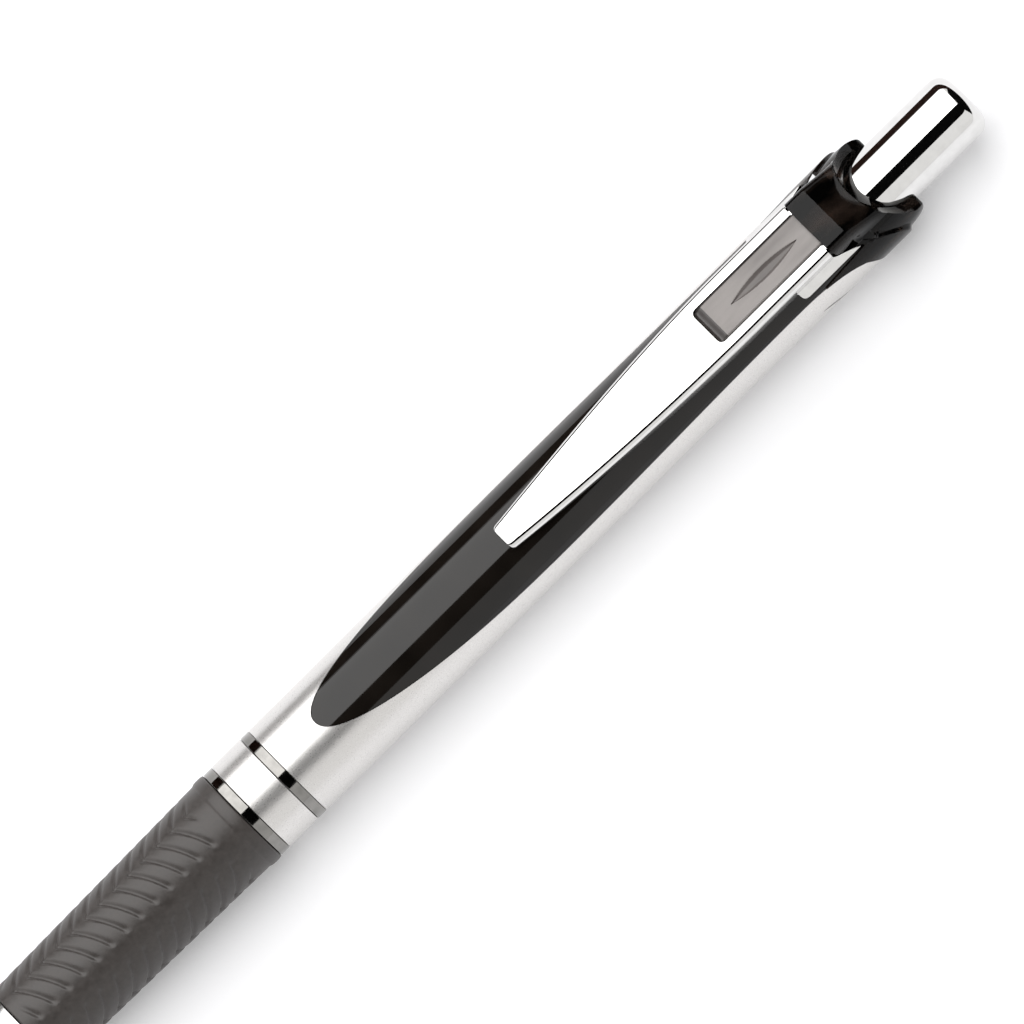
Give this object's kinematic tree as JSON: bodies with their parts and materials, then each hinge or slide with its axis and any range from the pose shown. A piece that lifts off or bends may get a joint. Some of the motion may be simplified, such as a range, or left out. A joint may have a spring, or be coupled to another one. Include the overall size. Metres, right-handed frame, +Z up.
{
  "type": "retractable gel pen",
  "caption": "Retractable gel pen with a push button, sprung refill, click cam, metal pocket clip, grooved rubber grip and screw-off nose cone.",
  "frame": {"origin": "under the middle of the pen's length, level with the lowest line of the barrel", "axes": "+X from the writing tip to the button, +Z up through the clip, +Y across the pen"},
  "size_m": [0.1424, 0.011, 0.0124],
  "materials": {
    "satin_metal": "satin plated",
    "mirror_chrome": "mirror plated",
    "dark_chrome": "smoky mirror plated",
    "satin_silver": "satin silver lacquer",
    "grip_rubber": "matt moulded rubber",
    "black_gloss": "glossy",
    "black_plastic": "moulded",
    "white_plastic": "moulded acetal",
    "smoke_plastic": "glossy smoky translucent",
    "smoke_insert": "glossy smoky translucent",
    "spring_steel": "drawn wire",
    "ball_steel": "polished hard metal",
    "clear_tube": "clear natural plastic",
    "black_ink": "wet black gel",
    "clear_grease": "clear grease"
  },
  "bodies": {
    "barrel": {"front_barrel": "black_plastic", "grip": "grip_rubber", "lower_ring": "dark_chrome", "label_band": "satin_silver", "upper_ring": "dark_chrome", "barrel_core": "black_gloss", "barrel_shell": "satin_silver", "crown": "smoke_plastic", "cam_guide": "white_plastic", "return_spring": "spring_steel"},
    "nose": {"nose_cone": "satin_metal"},
    "clip": {"clip": "mirror_chrome", "clip_insert": "smoke_insert"},
    "button": {"button_cap": "mirror_chrome", "plunger": "white_plastic"},
    "refill": {"refill_tube": "clear_tube", "ink_column": "black_ink", "grease_follower": "clear_grease", "tail_plug": "black_plastic", "tip_holder": "black_plastic", "tip_socket": "satin_metal", "ball_spring": "spring_steel"},
    "rotor": {"rotor": "white_plastic"},
    "ball": {"ball": "ball_steel"}
  },
  "joints": [
    {"name": "button_press", "type": "slide", "parent": "barrel", "child": "button", "axis": [-1, 0, 0], "range_m": [0, 0.0065], "stiffness_N_per_m": 300, "springref_m": -0.004, "deforming": ["return_spring"]},
    {"name": "refill_slide", "type": "slide", "parent": "barrel", "child": "refill", "axis": [-1, 0, 0], "range_m": [0, 0.0065], "deforming": ["return_spring"]},
    {"name": "rotor_turn", "type": "hinge", "parent": "refill", "child": "rotor", "pos_m": [0, 0, 0.00555], "axis": [1, 0, 0], "range_deg": [0, 22.5]},
    {"name": "ball_roll", "type": "hinge", "parent": "refill", "child": "ball", "pos_m": [-0.06843, 0, 0.00555], "axis": [0, 1, 0], "continuous": true},
    {"name": "clip_flex", "type": "hinge", "parent": "barrel", "child": "clip", "pos_m": [0.05275, 0, 0.0115], "axis": [0, 1, 0], "range_deg": [0, 4], "stiffness_Nm_per_rad": 1.6, "springref_deg": -2.86},
    {"name": "nose_off", "type": "slide", "parent": "barrel", "child": "nose", "axis": [-1, 0, 0], "range_m": [0, 0.03]}
  ],
  "couplings": [
    {"joint": "refill_slide", "follows": "button_press", "ratio": 1},
    {"joint": "rotor_turn", "follows": "button_press", "rad_per_m": 60.415}
  ]
}
